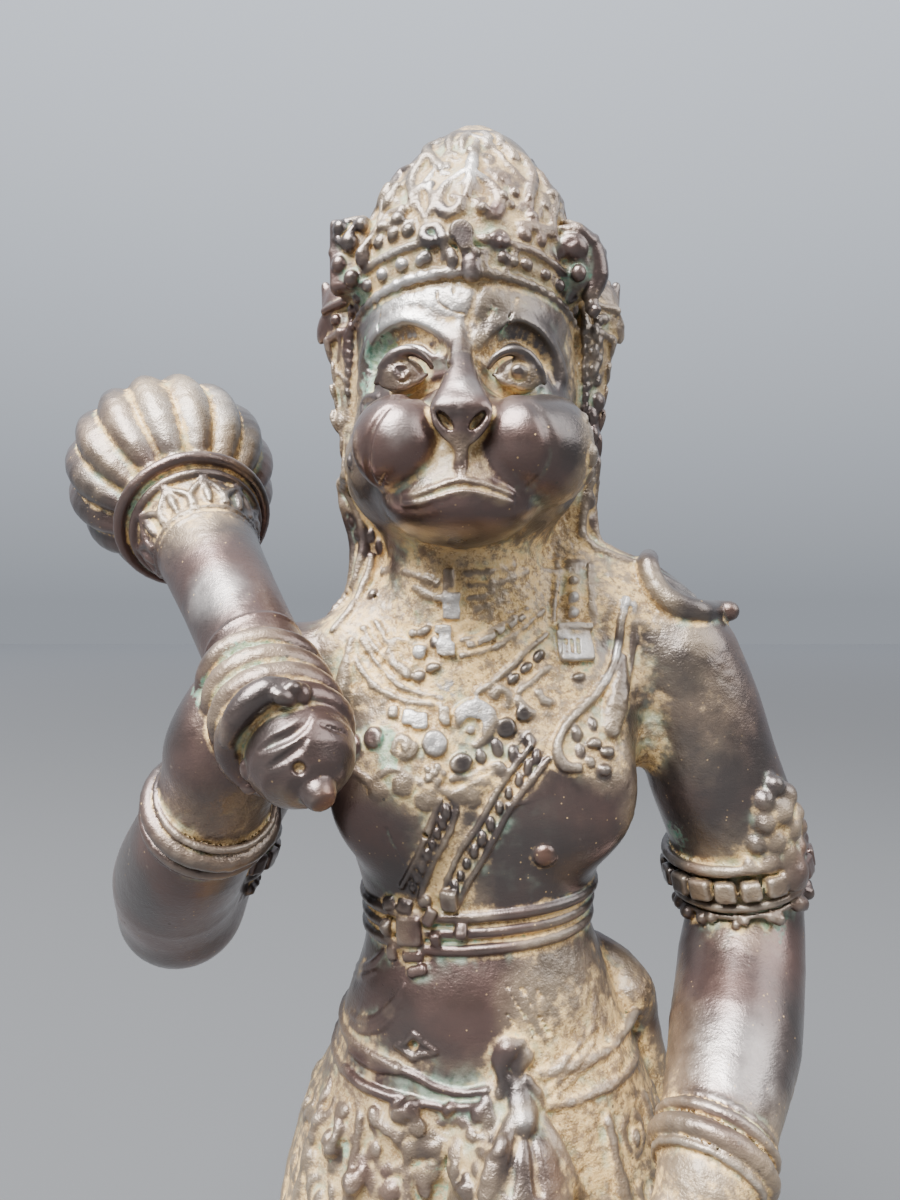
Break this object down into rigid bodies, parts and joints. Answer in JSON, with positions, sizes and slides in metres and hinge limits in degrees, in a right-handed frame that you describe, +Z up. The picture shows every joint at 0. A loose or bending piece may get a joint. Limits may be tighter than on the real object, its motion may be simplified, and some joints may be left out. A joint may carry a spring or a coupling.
{
  "type": "hanuman figure",
  "caption": "Standing monkey warrior in aged bronze, crowned and jewelled, a fluted club held up to its shoulder, its tail over the other shoulder, on a low plinth.",
  "frame": {"origin": "centre of the plinth's underside", "axes": "+Z up to the crown; the figure faces -Y; +X is towards its left arm"},
  "size_m": [0.2169, 0.1356, 0.4505],
  "materials": {
    "bronze": "dark brown polished bronze, with ochre deposit in the hollows and green patina"
  },
  "bodies": {
    "root": {"hanuman_casting": "bronze"}
  },
  "joints": []
}
